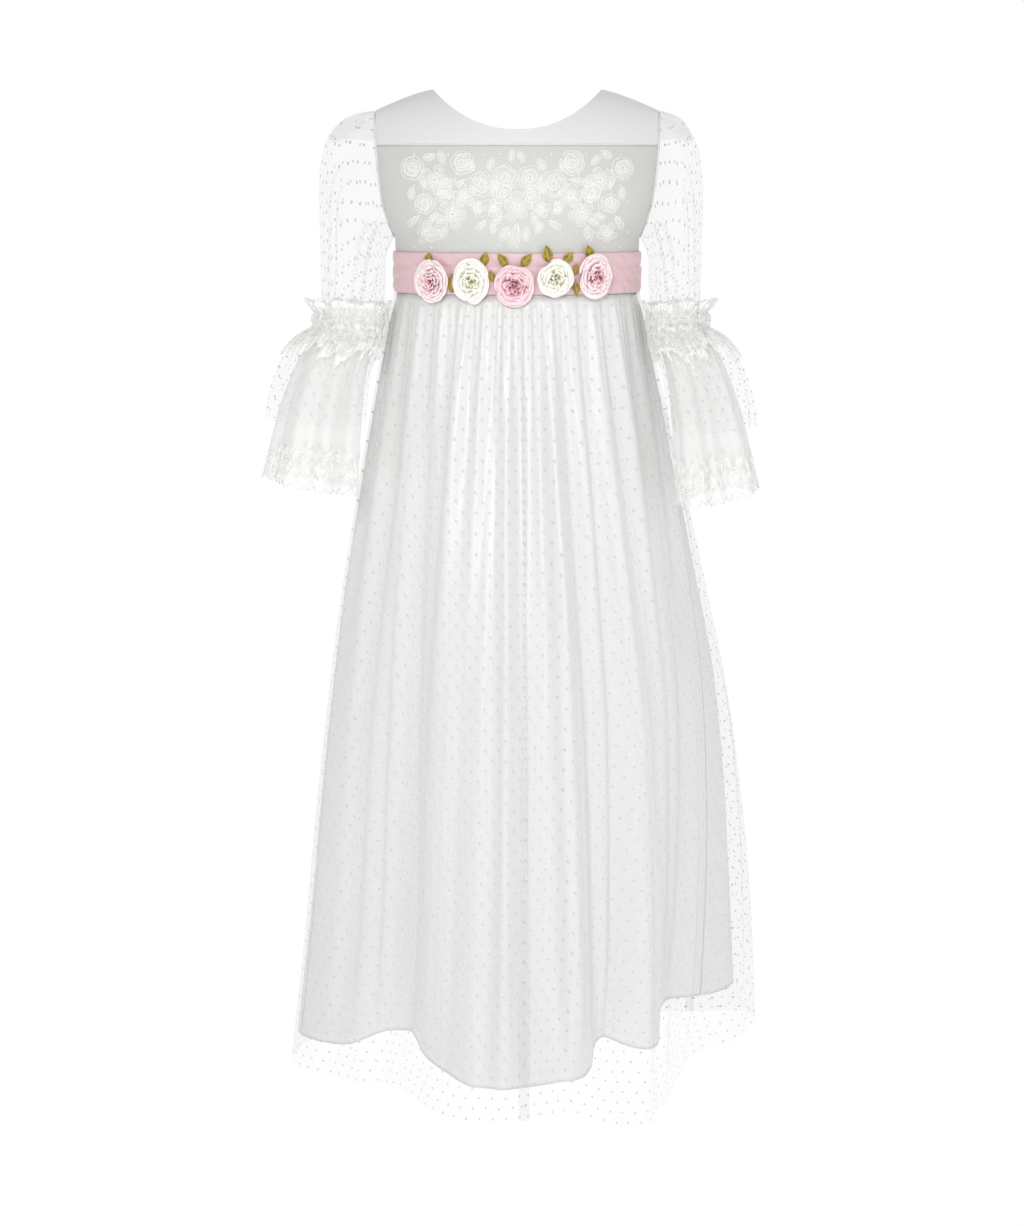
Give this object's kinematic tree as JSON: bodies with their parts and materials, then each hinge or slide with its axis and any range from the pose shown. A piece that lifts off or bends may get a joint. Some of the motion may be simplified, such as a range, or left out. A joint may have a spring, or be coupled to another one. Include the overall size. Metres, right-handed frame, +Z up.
{
  "type": "child's embroidered dress",
  "caption": "Long child's dress, worn form: lace bodice, plain yoke, sheer puffed sleeves with flounces, ribbon sash with fabric roses, satin skirt under dotted net.",
  "frame": {"origin": "midway between the shoulder seams, at the height of the neck's corners, where the wearer's shoulders carry the dress", "axes": "+Z up, the front faces -Y, the wearer's left is at +X"},
  "size_m": [0.4958, 0.4102, 0.9945],
  "materials": {
    "bodice_lace": "matte corded lace",
    "yoke_net": "matte plain cloth",
    "satin": "soft satin",
    "dotted_net": "sheer dotted net",
    "ribbon_pink": "satin ribbon",
    "rose_pink": "matte rolled cloth",
    "rose_ivory": "matte rolled cloth",
    "leaf_green": "satin leaf",
    "button_satin": "satin covered"
  },
  "bodies": {
    "root": {"bodice_back_left": "yoke_net", "bodice_back_right": "yoke_net", "bodice_front": "bodice_lace", "button_1": "button_satin", "button_2": "button_satin", "button_3": "button_satin", "button_4": "button_satin", "lace_flounce_left": "bodice_lace", "lace_flounce_right": "bodice_lace", "leaf_1": "leaf_green", "leaf_10": "leaf_green", "leaf_11": "leaf_green", "leaf_2": "leaf_green", "leaf_3": "leaf_green", "leaf_4": "leaf_green", "leaf_5": "leaf_green", "leaf_6": "leaf_green", "leaf_7": "leaf_green", "leaf_8": "leaf_green", "leaf_9": "leaf_green", "net_flounce_left": "dotted_net", "net_flounce_right": "dotted_net", "overskirt_back": "dotted_net", "overskirt_front": "dotted_net", "rose_1": "rose_pink", "rose_2": "rose_ivory", "rose_3": "rose_pink", "rose_4": "rose_ivory", "rose_5": "rose_pink", "sash_back": "ribbon_pink", "sash_front": "ribbon_pink", "sleeve_frill_left": "dotted_net", "sleeve_frill_right": "dotted_net", "sleeve_left": "dotted_net", "sleeve_right": "dotted_net", "underskirt_back": "satin", "underskirt_front": "satin", "yoke_front": "yoke_net"}
  },
  "joints": []
}
